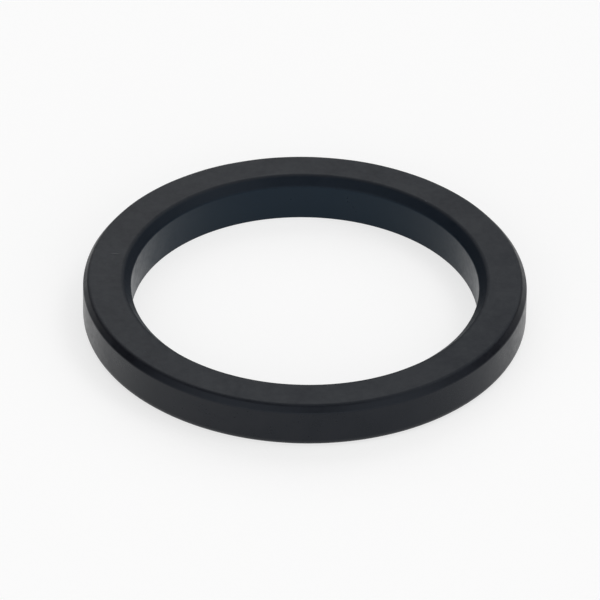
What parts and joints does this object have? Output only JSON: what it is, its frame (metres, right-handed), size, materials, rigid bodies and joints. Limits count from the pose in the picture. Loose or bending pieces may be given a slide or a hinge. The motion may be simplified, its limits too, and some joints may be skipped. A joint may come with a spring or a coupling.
{
  "type": "group head gasket",
  "caption": "Black rubber sealing ring of rectangular section with bevelled upper edges, for the portafilter seat of an espresso machine group",
  "frame": {"origin": "middle of the plain face, on the ring's axis", "axes": "+Z is the ring's axis and points from the plain face to the bevelled face; X and Y lie in the plain face"},
  "size_m": [0.073, 0.073, 0.0077],
  "materials": {
    "rubber": "dull moulded black rubber with a matt face and slightly smoother walls"
  },
  "bodies": {
    "root": {"gasket": "rubber"}
  },
  "joints": []
}
